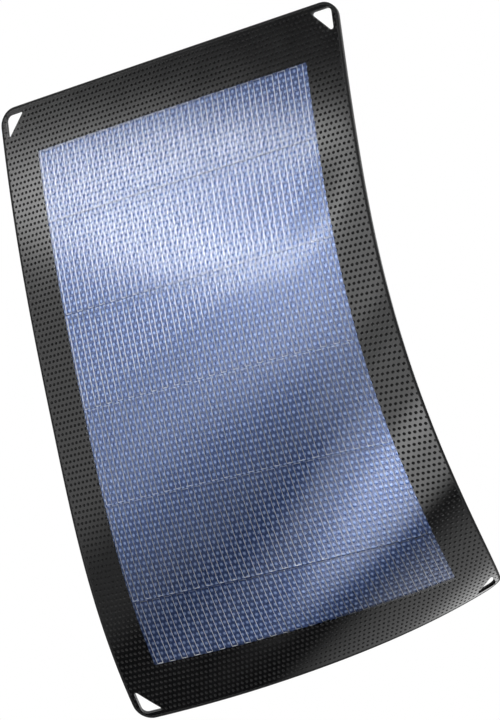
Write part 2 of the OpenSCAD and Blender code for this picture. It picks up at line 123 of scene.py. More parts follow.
class BentSurface:
    """The sheet's front surface and every depth behind it."""

    rolls = (
        Roll(direction=63.6, start=-34, turn=20.5, length=100, quadratic=True),
        Roll(direction=107, start=-178, turn=11.4, length=215),
        Roll(direction=24.5, start=24.4, turn=33, length=156),
    )
    reach = 250
    step = 0.5

    def __init__(self, hang_h: float, thickness: float) -> None:
        """Sums the rolls along their own directions.

        Args:
            hang_h: Flat height of the hanging line, which passes the origin.
            thickness: Thickness of the whole sheet.
        """
        self.places = np.arange(-self.reach, self.reach + self.step, self.step)
        middles = self.places[:-1] + self.step / 2
        self.sums = [self._sums(roll, middles) for roll in self.rolls]
        hang = np.array([[0.0, hang_h]])
        self.origin = (self._front(hang) - thickness * self.normals(hang))[0]

    def _sums(self, roll: Roll, middles: np.ndarray) -> tuple[np.ndarray, np.ndarray]:
        """Gives how far a roll draws the sheet in and pushes it back at each place."""
        slope = roll.slope(middles)
        drawn = np.concatenate([[0], np.cumsum((np.cos(slope) - 1) * self.step)])
        pushed = np.concatenate([[0], np.cumsum(np.sin(slope) * self.step)])
        middle = len(self.places) // 2
        return drawn - drawn[middle], pushed - pushed[middle]

    def _front(self, flat: np.ndarray) -> np.ndarray:
        """Gives the front surface before the origin is set."""
        points = np.stack([flat[:, 0], np.zeros(len(flat)), flat[:, 1]], 1)
        for roll, (drawn, pushed) in zip(self.rolls, self.sums):
            across = roll.across()
            s = flat @ across
            inward = np.interp(s, self.places, drawn)
            points += np.stack(
                [inward * across[0], np.interp(s, self.places, pushed), inward * across[1]], 1
            )
        return points

    def normals(self, flat: np.ndarray) -> np.ndarray:
        """Gives the unit normals that point out of the front.

        Args:
            flat: Points on the flat sheet, one row each.

        Returns:
            One unit vector for each point.
        """
        tangents = [np.tile(t, (len(flat), 1)) for t in ([1.0, 0, 0], [0, 0, 1.0])]
        for roll in self.rolls:
            across = roll.across()
            slope = roll.slope(flat @ across)
            shrink = np.cos(slope) - 1
            bent = np.stack([shrink * across[0], np.sin(slope), shrink * across[1]], 1)
            for k in range(2):
                tangents[k] = tangents[k] + bent * across[k]
        normals = np.cross(tangents[0], tangents[1])
        return normals / np.linalg.norm(normals, axis=1, keepdims=True)

    def bend(self, points: np.ndarray) -> np.ndarray:
        """Rolls points from the flat sheet into place.

        Args:
            points: Rows of distance across, height and depth from the front, in mm.

        Returns:
            The points in the frame, in metres.
        """
        flat = points[:, :2]
        front = self._front(flat) - self.origin
        return (front - points[:, 2:3] * self.normals(flat)) * MM


# --- Flat outlines and their triangles --------------------------------------------------


def arc(
    centre: tuple[float, float], radius: float, start: float, end: float, steps: int
) -> np.ndarray:
    """Gives the points of an arc, its angles in degrees."""
    angles = np.radians(np.linspace(start, end, steps + 1))
    return np.array(centre) + radius * np.stack([np.cos(angles), np.sin(angles)], 1)


def even_steps(loop: np.ndarray, step: float) -> np.ndarray:
    """Splits the long edges of a closed outline into even steps."""
    parts = []
    for a, b in zip(loop, np.roll(loop, -1, axis=0)):
        count = max(1, round(float(np.linalg.norm(b - a)) / step))
        parts.append(a + (b - a) * np.arange(count)[:, None] / count)
    return np.concatenate(parts)


def rectangle(left: float, right: float, bottom: float, top: float, step: float) -> np.ndarray:
    """Gives a rectangle's outline in even steps."""
    corners = np.array([[left, bottom], [right, bottom], [right, top], [left, top]])
    return even_steps(corners, step)


def loop_edges(loops: list[np.ndarray]) -> np.ndarray:
    """Gives every edge of some closed outlines as a pair of point numbers."""
    edges, base = [], 0
    for loop in loops:
        ring = base + np.arange(len(loop))
        edges.append(np.stack([ring, np.roll(ring, -1)], 1))
        base += len(loop)
    return np.concatenate(edges)


def inside(points: np.ndarray, places: np.ndarray, edges: np.ndarray) -> np.ndarray:
    """Says which points lie inside an odd number of closed outlines.

    Args:
        points: The points to test.
        places: The outlines' points.
        edges: The outlines' edges, as pairs of point numbers.

    Returns:
        True for each point inside.
    """
    a, b = places[edges[:, 0]], places[edges[:, 1]]
    odd = np.zeros(len(points), bool)
    for k in range(len(edges)):
        crosses = (a[k, 1] > points[:, 1]) != (b[k, 1] > points[:, 1])
        rise = b[k, 1] - a[k, 1]
        if rise == 0:
            continue
        x = a[k, 0] + (points[:, 1] - a[k, 1]) * (b[k, 0] - a[k, 0]) / rise
        odd ^= crosses & (points[:, 0] < x)
    return odd


def fill(
    places: np.ndarray, edges: np.ndarray, step: float | None
) -> tuple[np.ndarray, np.ndarray]:
    """Fills the area inside an odd number of outlines with triangles.

    Args:
        places: The outlines' points.
        edges: The outlines' edges, as pairs of point numbers.
        step: Spacing of the points added inside, or None to add none.

    Returns:
        The points and the triangles, which run anticlockwise.
    """
    everything = places
    if step is not None:
        low, high = places.min(0), places.max(0)
        across, up = (np.arange(low[k] + step / 2, high[k], step) for k in range(2))
        spread = np.stack(np.meshgrid(across, up), -1).reshape(-1, 2)
        spread = spread[inside(spread, places, edges)]
        near = np.array([np.min(np.sum((places - p) ** 2, 1)) for p in spread])
        everything = np.concatenate([places, spread[near > (0.45 * step) ** 2]])
    found = delaunay_2d_cdt(
        [Vector(p) for p in everything.tolist()], edges.tolist(), [], 0, 1e-6
    )
    points = np.array([v[:] for v in found[0]])
    faces = np.array(found[2], int)
    middles = points[faces].mean(1)
    faces = faces[inside(middles, places, edges)]
    first, second, third = (points[faces[:, k]] for k in range(3))
    area = np.cross(second - first, third - first)
    faces[area < 0] = faces[area < 0][:, ::-1]
    return points, faces[np.abs(area) > 1e-9]


@dataclass(frozen=True)
class Plan:
    """The flat sheet's outlines, in millimetres from its middle."""

    width: float = 198
    height: float = 321
    corner_r: float = 9
    side_border: float = 20
    end_border: float = 27
    first_row: float = 38.3
    row: float = 48.9
    rows: int = 6
    eye_inset: float = 3.2
    eye_w: float = 10.5
    eye_h: float = 12
    eye_outer_r: float = 3.2
    eye_tip_r: float = 1.1
    ribbon: float = 5
    return_ribbon: float = 4.5
    step: float = 3.0

    @property
    def window(self) -> tuple[float, float]:
        """Half width and half height of the window."""
        return self.width / 2 - self.side_border, self.height / 2 - self.end_border

    @property
    def hang_h(self) -> float:
        """Height of the hanging line, through the middles of the top eyelets."""
        return self.height / 2 - self.eye_inset - self.eye_h / 2

    def row_top(self, row: int) -> float:
        """Gives the upper edge of a row of cells."""
        top = self.window[1]
        if row == 0:
            return top
        return -top if row == self.rows else top - self.first_row - (row - 1) * self.row

    def outline(self) -> np.ndarray:
        """Gives the sheet's outline, with its round corners."""
        x, y = self.width / 2 - self.corner_r, self.height / 2 - self.corner_r
        corners = ((x, y, 0), (-x, y, 90), (-x, -y, 180), (x, -y, 270))
        loop = np.concatenate(
            [arc((cx, cy), self.corner_r, a, a + 90, 10) for cx, cy, a in corners]
        )
        return even_steps(loop, self.step)

    def eyelet(self, side: int, end: int) -> np.ndarray:
        """Gives the outline of one eyelet: a round outer corner and two tips.

        Args:
            side: -1 for the left edge and 1 for the right.
            end: -1 for the bottom edge and 1 for the top.

        Returns:
            The outline's points.
        """
        near = self.eye_inset + self.eye_tip_r
        tip_side = (self.eye_inset + self.eye_w - self.eye_tip_r, near)
        tip_end = (near, self.eye_inset + self.eye_h - self.eye_tip_r)
        lean = math.degrees(math.atan2(tip_side[0] - tip_end[0], tip_end[1] - tip_side[1]))
        middle = (self.eye_inset + self.eye_outer_r,) * 2
        loop = np.concatenate(
            [
                arc(middle, self.eye_outer_r, 180, 270, 9),
                arc(tip_side, self.eye_tip_r, 270, 360 + lean, 9),
                arc(tip_end, self.eye_tip_r, lean, 180, 9),
            ]
        )
        loop = even_steps(loop, self.step / 2)
        return np.stack(
            [side * (self.width / 2 - loop[:, 0]), end * (self.height / 2 - loop[:, 1])], 1
        )

    def sheet_loops(self) -> list[np.ndarray]:
        """Gives the sheet's outline and its four eyelets."""
        eyelets = [self.eyelet(side, end) for side in (-1, 1) for end in (-1, 1)]
        return [self.outline(), *eyelets]

    def window_loop(self) -> np.ndarray:
        """Gives the window's outline."""
        x, y = self.window
        return rectangle(-x, x, -y, y, self.step)

    def lead_loops(self) -> list[np.ndarray]:
        """Gives the two slots through which the leads pass to the junction box."""
        top = self.height / 2 - self.eye_inset - self.eye_h * 2 / 3
        bottom = self.height / 2 - self.eye_inset - self.eye_h
        return [rectangle(x, x + 4, bottom, top, 2) for x in (-12, 8)]


@dataclass(frozen=True)
class Depths:
    """Depths of the layer faces behind the front, in millimetres."""

    mask: float = 0.6
    cells: float = 0.9
    rear_glue: float = 1.2
    back: float = 1.5
    sheet: float = 2.0


# --- Meshes ---------------------------------------------------------------------------


def boundary(faces: np.ndarray) -> np.ndarray:
    """Gives the directed edges that only one triangle has."""
    edges = np.concatenate([faces[:, [0, 1]], faces[:, [1, 2]], faces[:, [2, 0]]])
    size = int(faces.max()) + 1
    keys = edges[:, 0] * size + edges[:, 1]
    back = edges[:, 1] * size + edges[:, 0]
    return edges[~np.isin(keys, back)]


def new_piece(
    name: str, points: np.ndarray, faces: list, material: bpy.types.Material
) -> bpy.types.Object:
    """Makes a shown object from points in the frame and faces.

    Args:
        name: The piece's name.
        points: Its points in metres.
        faces: Its faces, as lists of point numbers.
        material: Its finish.

    Returns:
        The new object, at the origin.
    """
    mesh = bpy.data.meshes.new(name)
    mesh.from_pydata(points.tolist(), [], faces)
    mesh.materials.append(material)
    piece = bpy.data.objects.new(name, mesh)
    bpy.context.scene.collection.objects.link(piece)
    return piece


def smooth(piece: bpy.types.Object, sharp_angle: float = 40) -> None:
    """Shades a piece smooth, with sharp edges above an angle in degrees."""
    mesh = piece.data
    mesh.shade_smooth()
    mesh.set_sharp_from_angle(angle=math.radians(sharp_angle))


def add_flat_map(piece: bpy.types.Object, flat: np.ndarray, plan: Plan) -> None:
    """Gives a piece a UV map of its place on the flat sheet, one unit for the sheet's height."""
    mesh = piece.data
    layer = mesh.uv_layers.new(name="flat")
    numbers = np.zeros(len(mesh.loops), int)
    mesh.loops.foreach_get("vertex_index", numbers)
    corner = np.array([plan.width / 2, plan.height / 2])
    layer.data.foreach_set("uv", ((flat[numbers] + corner) / plan.height).ravel())


def slab(
    name: str,
    surface: BentSurface,
    plan: Plan,
    front: tuple[np.ndarray, np.ndarray],
    back: tuple[np.ndarray, np.ndarray],
    material: bpy.types.Material,
) -> bpy.types.Object:
    """Makes a closed, bent layer from the triangles of its two faces.

    Args:
        name: The piece's name.
        surface: The bent surface.
        plan: The flat sheet.
        front: Points (across, height, depth) and triangles of the front face.
        back: The same for the back face, with the same outline.
        material: Its finish.

    Returns:
        The new object.
    """
    points = np.concatenate([front[0], back[0]])
    first = len(front[0])
    partner = {tuple(np.round(p[:2], 3)): first + k for k, p in enumerate(back[0])}
    walls = []
    for a, b in boundary(front[1]):
        ends = [partner[tuple(np.round(front[0][k][:2], 3))] for k in (a, b)]
        walls.append([int(b), int(a), ends[0], ends[1]])
    faces = front[1].tolist() + (back[1][:, ::-1] + first).tolist() + walls
    piece = new_piece(name, surface.bend(points), faces, material)
    add_flat_map(piece, points[:, :2], plan)
    smooth(piece)
    return piece


def layer(
    name: str,
    surface: BentSurface,
    plan: Plan,
    loops: list[np.ndarray],
    depths: tuple[float, float],
    material: bpy.types.Material,
) -> bpy.types.Object:
    """Makes a closed, bent layer of even thickness inside some outlines.

    Args:
        name: The piece's name.
        surface: The bent surface.
        plan: The flat sheet.
        loops: The layer's outlines; holes are outlines within outlines.
        depths: Depths of its front and back faces.
        material: Its finish.

    Returns:
        The new object.
    """
    flat, faces = fill(np.concatenate(loops), loop_edges(loops), plan.step)
    sides = [(np.column_stack([flat, np.full(len(flat), d)]), faces) for d in depths]
    return slab(name, surface, plan, sides[0], sides[1], material)


def rounded_copy(node: str, width: float, material: bpy.types.Material) -> bpy.types.Object:
    """Makes a copy of a CAD node with small rounds on its edges, to stand for it.

    Args:
        node: The CAD node's name.
        width: Width of the rounds, in millimetres.
        material: Its finish.

    Returns:
        The new object.
    """
    source = bpy.data.objects[node]
    mesh = source.data.copy()
    form = bmesh.new()
    form.from_mesh(mesh)
    bmesh.ops.remove_doubles(form, verts=form.verts, dist=1e-6)
    bmesh.ops.dissolve_limit(
        form, angle_limit=math.radians(1), verts=form.verts, edges=form.edges
    )
    form.to_mesh(mesh)
    form.free()
    piece = bpy.data.objects.new(node + "_rounded", mesh)
    bpy.context.scene.collection.objects.link(piece)
    rounds = piece.modifiers.new("rounds", "BEVEL")
    rounds.width = width * MM
    rounds.segments = 2
    rounds.limit_method = "ANGLE"
    rounds.angle_limit = math.radians(35)
    finished = evaluated_mesh(piece)
    piece.modifiers.clear()
    piece.data = finished
    finished.materials.clear()
    finished.materials.append(material)
    smooth(piece, 35)
    return piece


def evaluated_mesh(piece: bpy.types.Object) -> bpy.types.Mesh:
    """Gives a piece's mesh with its modifiers applied."""
    graph = bpy.context.evaluated_depsgraph_get()
    return bpy.data.meshes.new_from_object(piece.evaluated_get(graph), depsgraph=graph)


# --- Node trees -------------------------------------------------------------------------


def add(
    tree: bpy.types.NodeTree, kind: str, settings: dict | None = None, **values: object
) -> bpy.types.Node:
    """Adds a node to a tree.

    Args:
        tree: The tree.
        kind: The node's type.
        settings: Properties of the node.
        **values: Input values or output sockets to link, by input name with _ for spaces.

    Returns:
        The new node.
    """
    node = tree.nodes.new(kind)
    for key, value in (settings or {}).items():
        setattr(node, key, value)
    for key, value in values.items():
        wire(tree, value, node, key.replace("_", " "))
    return node


def wire(tree: bpy.types.NodeTree, value: object, node: bpy.types.Node, name: str | int) -> None:
    """Links a socket to a node's input, or sets the input to a value."""
    socket = node.inputs[name]
    if isinstance(value, bpy.types.NodeSocket):
        tree.links.new(value, socket)
    else:
        socket.default_value = value


def maths(tree: bpy.types.NodeTree, operation: str, *values: object) -> bpy.types.NodeSocket:
    """Adds a Math node and gives its result."""
    node = tree.nodes.new("ShaderNodeMath")
    node.operation = operation
    for k, value in enumerate(values):
        wire(tree, value, node, k)
    return node.outputs[0]


def new_tree(name: str, kind: str, inputs: dict[str, str], outputs: dict[str, str]) -> tuple:
    """Makes a node group with named inputs and outputs.

    Args:
        name: The group's name.
        kind: The type of tree.
        inputs: Socket types by input name.
        outputs: Socket types by output name.

    Returns:
        The tree, its Group Input node and its Group Output node.
    """
    tree = bpy.data.node_groups.new(name, kind)
    for socket, kind_of in inputs.items():
        tree.interface.new_socket(name=socket, in_out="INPUT", socket_type=kind_of)
    for socket, kind_of in outputs.items():
        tree.interface.new_socket(name=socket, in_out="OUTPUT", socket_type=kind_of)
    return tree, tree.nodes.new("NodeGroupInput"), tree.nodes.new("NodeGroupOutput")


def shader_tree(name: str, inputs: list[str], outputs: list[str]) -> tuple:
    """Makes a shader group that takes coordinates and numbers, and gives numbers."""
    taken = {"Coordinates": "NodeSocketVector"} | dict.fromkeys(inputs, "NodeSocketFloat")
    return new_tree(name, "ShaderNodeTree", taken, dict.fromkeys(outputs, "NodeSocketFloat"))


def run_tree(
    base: bpy.types.Object, tree: bpy.types.NodeTree, inputs: dict[str, object]
) -> bpy.types.Mesh:
    """Runs a Geometry Nodes tree on an object, removes the object and gives the mesh.

    Args:
        base: The object that the tree starts from.
        tree: The tree.
        inputs: Values of the tree's inputs, by name.

    Returns:
        The resulting plain mesh.
    """
    modifier = base.modifiers.new(tree.name, "NODES")
    modifier.node_group = tree
    for item in tree.interface.items_tree:
        if item.item_type == "SOCKET" and item.in_out == "INPUT" and item.name in inputs:
            modifier[item.identifier] = inputs[item.name]
    mesh = evaluated_mesh(base)
    bpy.data.objects.remove(base)
    return mesh


def mesh_arrays(mesh: bpy.types.Mesh) -> tuple[np.ndarray, np.ndarray]:
    """Gives a mesh's points and its triangles."""
    mesh.calc_loop_triangles()
    points = np.zeros(len(mesh.vertices) * 3)
    mesh.vertices.foreach_get("co", points)
    faces = np.zeros(len(mesh.loop_triangles) * 3, int)
    mesh.loop_triangles.foreach_get("vertices", faces)
    return points.reshape(-1, 3), faces.reshape(-1, 3)


def loose_object(name: str, points: np.ndarray, edges: list, faces: list) -> bpy.types.Object:
    """Makes a helper object for a tree to start from."""
    mesh = bpy.data.meshes.new(name)
    mesh.from_pydata(points.tolist(), edges, faces)
    helper = bpy.data.objects.new(name, mesh)
    bpy.context.scene.collection.objects.link(helper)
    return helper


def dimple_tree() -> bpy.types.NodeTree:
    """Builds the tree that sets a dimpled tile on each point and joins the tiles."""
    tree, start, end = new_tree(
        "dimple_tiles",
        "GeometryNodeTree",
        {
            "Places": "NodeSocketGeometry",
            "Tile": "NodeSocketObject",
            "Pitch": "NodeSocketFloat",
            "Row Height": "NodeSocketFloat",
            "Dimple Depth": "NodeSocketFloat",
            "Join Distance": "NodeSocketFloat",
            "Finish": "NodeSocketMaterial",
        },
        {"Tiles": "NodeSocketGeometry"},
    )
    tile = add(tree, "GeometryNodeObjectInfo", Object=start.outputs["Tile"])
    size = add(
        tree,
        "ShaderNodeCombineXYZ",
        X=start.outputs["Pitch"],
        Y=start.outputs["Row Height"],
        Z=start.outputs["Dimple Depth"],
    )
    tiles = add(
        tree,
        "GeometryNodeInstanceOnPoints",
        Points=start.outputs["Places"],
        Instance=tile.outputs["Geometry"],
        Scale=size.outputs[0],
    )
    joined = add(
        tree,
        "GeometryNodeMergeByDistance",
        Geometry=add(tree, "GeometryNodeRealizeInstances", Geometry=tiles.outputs[0]).outputs[0],
        Distance=start.outputs["Join Distance"],
    )
    dressed = add(
        tree,
        "GeometryNodeSetMaterial",
        Geometry=joined.outputs[0],
        Material=start.outputs["Finish"],
    )
    tree.links.new(dressed.outputs[0], end.inputs["Tiles"])
    return tree


def wire_tree() -> bpy.types.NodeTree:
    """Builds the tree that repeats a hairpin across a row and sweeps a round wire along it."""
    tree, start, end = new_tree(
        "collector_wire",
        "GeometryNodeTree",
        {
            "Hairpin": "NodeSocketGeometry",
            "Loops": "NodeSocketInt",
            "Loop Pitch": "NodeSocketFloat",
            "Right Edge": "NodeSocketFloat",
            "Wire Radius": "NodeSocketFloat",
            "Wire Sides": "NodeSocketInt",
            "Join Distance": "NodeSocketFloat",
            "Finish": "NodeSocketMaterial",
        },
        {"Wire": "NodeSocketGeometry"},
    )
    step = add(tree, "ShaderNodeCombineXYZ", X=start.outputs["Loop Pitch"])
    places = add(
        tree, "GeometryNodeMeshLine", Count=start.outputs["Loops"], Offset=step.outputs[0]
    )
    loops = add(
        tree,
        "GeometryNodeInstanceOnPoints",
        Points=places.outputs[0],
        Instance=start.outputs["Hairpin"],
    )
    joined = add(
        tree,
        "GeometryNodeMergeByDistance",
        Geometry=add(tree, "GeometryNodeRealizeInstances", Geometry=loops.outputs[0]).outputs[0],
        Distance=start.outputs["Join Distance"],
    )
    place = add(tree, "GeometryNodeInputPosition").outputs[0]
    across = add(tree, "ShaderNodeSeparateXYZ", Vector=place).outputs[0]
    beyond = maths(tree, "GREATER_THAN", across, start.outputs["Right Edge"])
    trimmed = add(
        tree, "GeometryNodeDeleteGeometry", Geometry=joined.outputs[0], Selection=beyond
    )
    path = add(tree, "GeometryNodeMeshToCurve", Mesh=trimmed.outputs[0])
    section = add(
        tree,
        "GeometryNodeCurvePrimitiveCircle",
        Resolution=start.outputs["Wire Sides"],
        Radius=start.outputs["Wire Radius"],
    )
    swept = add(
        tree, "GeometryNodeCurveToMesh", Curve=path.outputs[0], Profile_Curve=section.outputs[0]
    )
    swept.inputs["Fill Caps"].default_value = True
    dressed = add(
        tree,
        "GeometryNodeSetMaterial",
        Geometry=swept.outputs[0],
        Material=start.outputs["Finish"],
    )
    tree.links.new(dressed.outputs[0], end.inputs["Wire"])
    return tree


# --- Shared shader effects ------------------------------------------------------------


def grain_group() -> bpy.types.NodeTree:
    """Builds the group for fine grain: a height and a mask that vary over the surface."""
    tree, start, end = shader_tree("fine_grain", ["Grain Size"], ["Height", "Mottle"])
    scale = maths(tree, "DIVIDE", 1.0, start.outputs["Grain Size"])
    fine = add(
        tree, "ShaderNodeTexNoise", Vector=start.outputs["Coordinates"], Scale=scale, Detail=3.0
    )
    broad_scale = maths(tree, "MULTIPLY", scale, 0.04)
    broad = add(
        tree,
        "ShaderNodeTexNoise",
        Vector=start.outputs["Coordinates"],
        Scale=broad_scale,
        Detail=4.0,
    )
    tree.links.new(fine.outputs[0], end.inputs["Height"])
    tree.links.new(broad.outputs[0], end.inputs["Mottle"])
    return tree


def weave_group() -> bpy.types.NodeTree:
    """Builds the group for a plain weave: thread heights and a mask of which thread is on top."""
    tree, start, end = shader_tree("plain_weave", ["Threads"], ["Height", "Warp"])
    split = add(tree, "ShaderNodeSeparateXYZ", Vector=start.outputs["Coordinates"])
    turns = [maths(tree, "MULTIPLY", split.outputs[k], start.outputs["Threads"]) for k in range(2)]
    angles = [maths(tree, "MULTIPLY", t, math.pi) for t in turns]
    waves = [maths(tree, "SINE", a) for a in angles]
    checker = maths(tree, "MULTIPLY", waves[0], waves[1])
    warp = maths(tree, "GREATER_THAN", checker, 0.0)
    crowns = [maths(tree, "ABSOLUTE", w) for w in waves]
    mixed = add(tree, "ShaderNodeMix", Factor=warp, A=crowns[0], B=crowns[1])
    tree.links.new(mixed.outputs[0], end.inputs["Height"])
    tree.links.new(warp, end.inputs["Warp"])
    return tree


def dust_group() -> bpy.types.NodeTree:
    """Builds the group for dust: a sparse mask that gathers in soft patches."""
    tree, start, end = shader_tree("light_dust", ["Amount"], ["Mask"])
    patches = add(
        tree, "ShaderNodeTexNoise", Vector=start.outputs["Coordinates"], Scale=35.0, Detail=5.0
    )
    specks = add(
        tree, "ShaderNodeTexNoise", Vector=start.outputs["Coordinates"], Scale=900.0, Detail=2.0
    )
    both = maths(tree, "MULTIPLY", patches.outputs[0], specks.outputs[0])
    mask = add(tree, "ShaderNodeMapRange", Value=both)
    mask.inputs["From Min"].default_value = 0.25
    mask.inputs["From Max"].default_value = 0.45
    scaled = maths(tree, "MULTIPLY", mask.outputs[0], start.outputs["Amount"])
    tree.links.new(scaled, end.inputs["Mask"])
    return tree


def fade(tree: bpy.types.NodeTree, value: object, low: float, high: float) -> bpy.types.NodeSocket:
    """Adds a smooth step from 0 at low to 1 at high, which may lie below low."""
    node = add(tree, "ShaderNodeMapRange", {"interpolation_type": "SMOOTHSTEP"}, Value=value)
    node.inputs["From Min"].default_value = low
    node.inputs["From Max"].default_value = high
    return node.outputs[0]


def lattice_group(
    plan: Plan, pitch: float, row_height: float, radius: float
) -> bpy.types.NodeTree:
    """Builds the group that finds the film's dimples on the flat sheet.

    Args:
        plan: The flat sheet, whose height is one unit of the coordinates.
        pitch: Distance between dimples along a row.
        row_height: Distance between rows.
        radius: Radius of a dimple.

    Returns:
        A group that masks each dimple, and the gaps between them.
    """
    tree, start, end = shader_tree("dimple_lattice", [], ["Dimple", "Gap"])
    split = add(tree, "ShaderNodeSeparateXYZ", Vector=start.outputs["Coordinates"])
    across = maths(tree, "MULTIPLY_ADD", split.outputs[0], plan.height, -plan.width / 2)
    up = maths(tree, "MULTIPLY_ADD", split.outputs[1], plan.height, -plan.height / 2)
    row = maths(tree, "ROUND", maths(tree, "DIVIDE", up, row_height))
    shift = maths(tree, "MULTIPLY", maths(tree, "PINGPONG", row, 1.0), 0.5)
    column = maths(tree, "SUBTRACT", maths(tree, "DIVIDE", across, pitch), shift)
    beside = maths(tree, "SUBTRACT", column, maths(tree, "ROUND", column))
    away = (
        maths(tree, "MULTIPLY", beside, pitch),
        maths(tree, "SUBTRACT", up, maths(tree, "MULTIPLY", row, row_height)),
    )
    far = maths(tree, "SQRT", maths(tree, "ADD", *(maths(tree, "POWER", d, 2.0) for d in away)))
    # The cells' face paints a highlight on the Dimple mask and shade on the Gap mask; the film only
    # dulls its gloss on the Dimple mask.
    masks = {"Dimple": (0.95, 0.55, 0.9), "Gap": (1.0, 1.4, 0.6)}
    for name, (low, high, strength) in masks.items():
        mask = fade(tree, far, low * radius, high * radius)
        tree.links.new(maths(tree, "MULTIPLY", mask, strength), end.inputs[name])
    return tree


def window_group(plan: Plan, rim: tuple[float, float] = (1.5, 0.9)) -> bpy.types.NodeTree:
    """Builds the group that masks the window and the outer rim on the flat sheet.

    Args:
        plan: The flat sheet.
        rim: Distances from the edge at which the rim's mask starts and is full.

    Returns:
        The group.
    """
    tree, start, end = shader_tree("window_mask", [], ["Window", "Rim"])
    split = add(tree, "ShaderNodeSeparateXYZ", Vector=start.outputs["Coordinates"])
    inner, past = [], []
    for k, (half, whole) in enumerate(zip(plan.window, (plan.width, plan.height))):
        middle = whole / 2 / plan.height
        away = maths(tree, "ABSOLUTE", maths(tree, "SUBTRACT", split.outputs[k], middle))
        inner.append(maths(tree, "LESS_THAN", away, half / plan.height))
        straight = (whole / 2 - plan.corner_r) / plan.height
        beyond = maths(tree, "MAXIMUM", maths(tree, "SUBTRACT", away, straight), 0.0)
        past.append(maths(tree, "POWER", beyond, 2.0))
    tree.links.new(maths(tree, "MULTIPLY", *inner), end.inputs["Window"])
    reach = maths(tree, "SQRT", maths(tree, "ADD", *past))
    low, high = ((plan.corner_r - edge) / plan.height for edge in rim)
    tree.links.new(fade(tree, reach, low, high), end.inputs["Rim"])
    return tree


class Effects:
    """The shader groups that several finishes share, each built once."""

    def __init__(self) -> None:
        """Builds the groups."""
        self.grain = grain_group()
        self.dots = lattice_group(Plan(), Laminate.pitch, Laminate.row_height, Laminate.dimple_r)
        self.window = window_group(Plan())
        self.weave = weave_group()
        self.dust = dust_group()


# --- Finishes ---------------------------------------------------------------------------


DUST = (0.42, 0.40, 0.37)


class Follow(Enum):
    """What a finish's pattern follows."""

    SPACE = "Object"
    SHEET = "UV"


class Shader:
    """A material under construction, with its Principled shader at hand."""

    def __init__(self, name: str, follow: Follow = Follow.SPACE) -> None:
        """Starts an empty material.

        Args:
            name: The material's name.
            follow: What its pattern follows.
        """
        self.material = bpy.data.materials.new(name)
        self.material.use_nodes = True
        self.tree = self.material.node_tree
        self.base = self.tree.nodes["Principled BSDF"]
        if follow is Follow.SHEET:
            self.where = add(self.tree, "ShaderNodeUVMap", {"uv_map": "flat"}).outputs[0]
        else:
            self.where = add(self.tree, "ShaderNodeTexCoord").outputs["Object"]

    def put(self, name: str, value: object) -> None:
        """Sets or links one of the Principled shader's inputs."""
        wire(self.tree, value, self.base, name)

    def group(self, tree: bpy.types.NodeTree, **values: object) -> bpy.types.Node:
        """Places a shared effect."""
        node = self.tree.nodes.new("ShaderNodeGroup")
        node.node_tree = tree
        wire(self.tree, self.where, node, "Coordinates")
        for key, value in values.items():
            wire(self.tree, value, node, key.replace("_", " "))
        return node

    def blend(self, factor: object, first: object, second: object) -> bpy.types.NodeSocket:
        """Mixes two colours, or colour sockets, by a factor that varies over the surface."""
        node = add(self.tree, "ShaderNodeMix", {"data_type": "RGBA"}, Factor=factor)
        for colour, place in ((first, MIX_A), (second, MIX_B)):
            wire(self.tree, (*colour, 1.0) if isinstance(colour, tuple) else colour, node, place)
        return node.outputs[MIX_RESULT]

    def between(self, value: object, low: float, high: float) -> bpy.types.NodeSocket:
        """Spreads a 0 to 1 value between two others."""
        return maths(self.tree, "MULTIPLY_ADD", value, high - low, low)

    def bump(self, height: object, distance: float, strength: float = 1.0) -> None:
        """Feeds a height to the shader's normal, its distance in millimetres."""
        node = add(self.tree, "ShaderNodeBump", Height=height)
        node.inputs["Distance"].default_value = distance * MM
        node.inputs["Strength"].default_value = strength
        self.put("Normal", node.outputs[0])


@dataclass(frozen=True)
class Moulded:
    """Moulded plastic, rubber or foam: a fine grain, a slight mottle and a little dust."""

    name: str
    colour: tuple[float, float, float]
    rough: float
    grain_mm: float = 0.25
    depth_mm: float = 0.02
    dust: float = 0.12

    def build(self, effects: Effects) -> bpy.types.Material:
        """Builds the material."""
        shader = Shader(self.name)
        grain = shader.group(effects.grain, Grain_Size=self.grain_mm * MM)
        dust = shader.group(effects.dust, Amount=self.dust)
        lighter = tuple(min(1.0, c * 1.35 + 0.01) for c in self.colour)
        mottled = shader.blend(grain.outputs["Mottle"], self.colour, lighter)
        shader.put("Base Color", shader.blend(dust.outputs[0], mottled, DUST))
        rough = shader.between(grain.outputs["Mottle"], self.rough - 0.08, self.rough + 0.08)
        shader.put("Roughness", rough)
        shader.bump(grain.outputs["Height"], self.depth_mm)
        return shader.material


@dataclass(frozen=True)
class Metal:
    """Bare or plated metal, with fine drawn lines and dulled patches."""

    name: str
    colour: tuple[float, float, float]
    rough: float
    grain_mm: float = 0.12

    def build(self, effects: Effects) -> bpy.types.Material:
        """Builds the material."""
        shader = Shader(self.name)
        grain = shader.group(effects.grain, Grain_Size=self.grain_mm * MM)
        dull = tuple(c * 0.7 for c in self.colour)
        shader.put("Base Color", shader.blend(grain.outputs["Mottle"], dull, self.colour))
        shader.put("Metallic", 1.0)
        rough = shader.between(grain.outputs["Height"], self.rough - 0.08, self.rough + 0.1)
        shader.put("Roughness", rough)
        shader.bump(grain.outputs["Height"], 0.004)
        return shader.material


